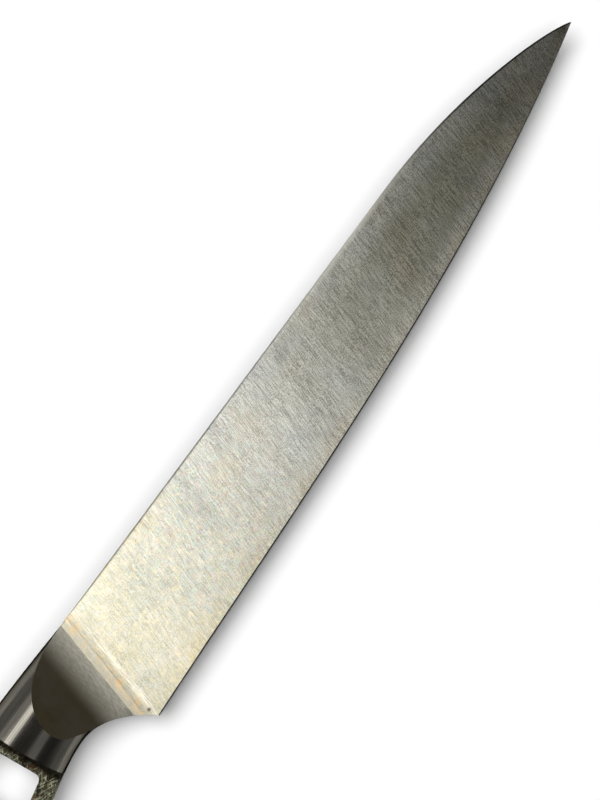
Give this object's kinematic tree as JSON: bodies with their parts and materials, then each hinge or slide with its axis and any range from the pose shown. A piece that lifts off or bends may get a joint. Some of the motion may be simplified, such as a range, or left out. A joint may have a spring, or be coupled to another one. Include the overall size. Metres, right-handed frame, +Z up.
{
  "type": "kitchen knife",
  "caption": "Slicing knife with a flat-ground blade, a bolster scooped into the blade, an open window in the tang and a riveted wooden handle.",
  "frame": {"origin": "on the surface that the knife lies on, under the middle of its box", "axes": "+X from the butt to the tip, +Y from the edge to the spine, +Z up through the thickness of the knife, which lies on its side"},
  "size_m": [0.331, 0.0348, 0.016],
  "materials": {
    "blade_steel": "fine grind marks across the blade, satin",
    "bolster_steel": "polished barrel, satin scoop",
    "tang_steel": "coarse ground",
    "scale_wood": "oiled, satin",
    "rivet_steel": "ground flush"
  },
  "bodies": {
    "root": {"blade": "blade_steel", "bolster": "bolster_steel", "tang": "tang_steel", "scale_upper": "scale_wood", "scale_lower": "scale_wood", "rivet_front_pin": "rivet_steel", "rivet_front_sleeve": "rivet_steel", "rivet_middle_pin": "rivet_steel", "rivet_middle_sleeve": "rivet_steel", "rivet_rear_pin": "rivet_steel", "rivet_rear_sleeve": "rivet_steel"}
  },
  "joints": []
}
